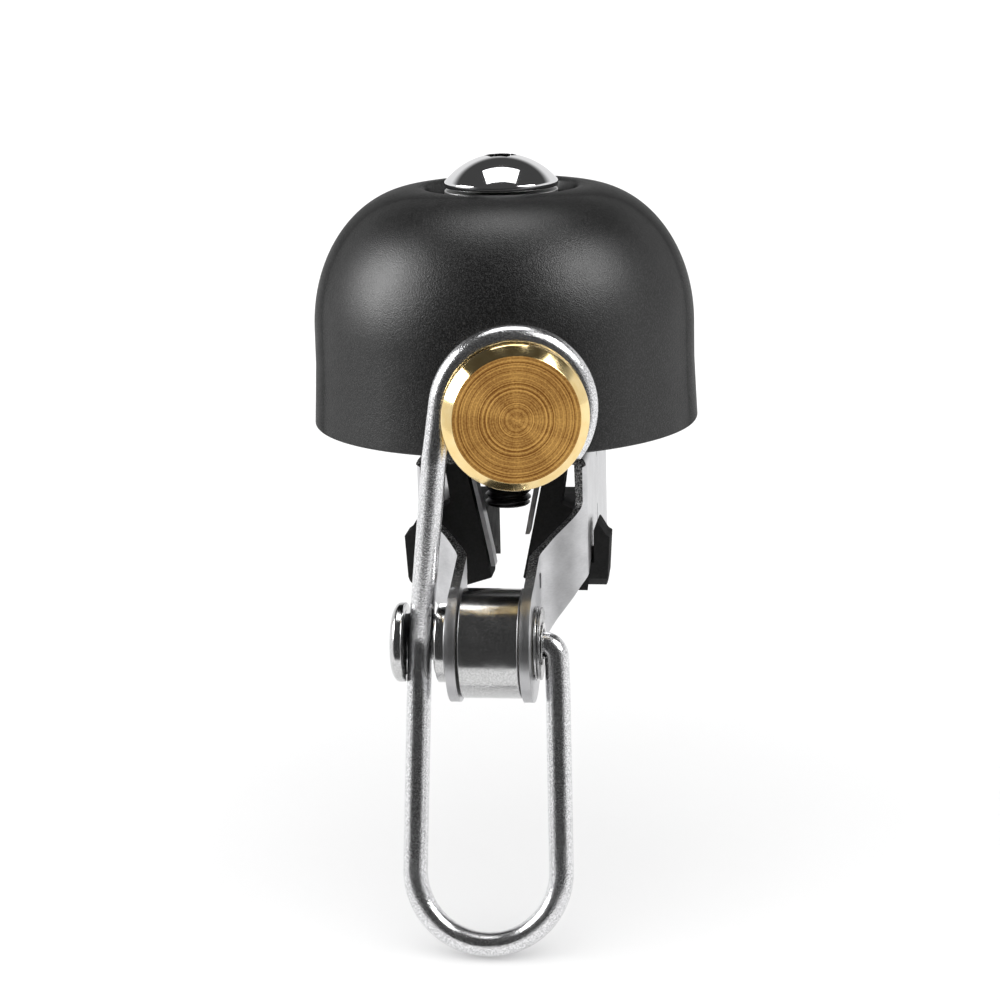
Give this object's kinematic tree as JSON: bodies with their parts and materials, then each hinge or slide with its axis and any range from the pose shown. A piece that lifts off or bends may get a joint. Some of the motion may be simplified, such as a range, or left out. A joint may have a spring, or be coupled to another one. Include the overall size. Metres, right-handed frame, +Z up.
{
  "type": "bicycle bell",
  "caption": "Handlebar bell with a black metal dome on a stamped bracket with rubber boots, rung by a sprung wire thumb lever that carries a round brass hammer.",
  "frame": {"origin": "top of the handlebar under the bell, on the dome's axis", "axes": "+Z up along the dome's axis, X along the handlebar and the striker's pivot, -Y towards the lever and hammer"},
  "size_m": [0.041, 0.0491, 0.0788],
  "materials": {
    "black_anodised": "matte black anodised, fine bead-blasted grain",
    "chrome": "mirror polished",
    "black_oxide": "black oxide, semi-gloss",
    "brushed_stainless": "satin brushed",
    "polished_stainless": "polished",
    "zinc_steel": "zinc plated, dull",
    "spring_steel": "drawn",
    "brass": "turned face, polished chamfer",
    "rubber": "matte moulded",
    "nylon": "matte"
  },
  "bodies": {
    "bell": {"dome": "black_anodised", "cap_nut": "chrome", "crown_washer": "zinc_steel", "upper_isolator": "rubber", "lower_isolator": "rubber", "dome_post": "zinc_steel", "dome_stud": "black_oxide", "lock_washer": "zinc_steel", "lock_nut": "zinc_steel", "bracket": "brushed_stainless", "saddle_boot_left": "rubber", "saddle_boot_right": "rubber", "spring_barrel": "polished_stainless", "bush_left": "nylon", "bush_right": "nylon", "torsion_spring": "spring_steel"},
    "striker": {"pivot_pin": "polished_stainless", "thrust_collar": "polished_stainless", "end_washer": "polished_stainless", "retaining_clip": "spring_steel", "lever_wire": "brushed_stainless", "hammer": "brass"}
  },
  "joints": [
    {"name": "striker_swing", "type": "hinge", "parent": "bell", "child": "striker", "pos_m": [0, -0.021, -0.0045], "axis": [1, 0, 0], "range_deg": [-2, 26], "stiffness_Nm_per_rad": 0.06}
  ]
}
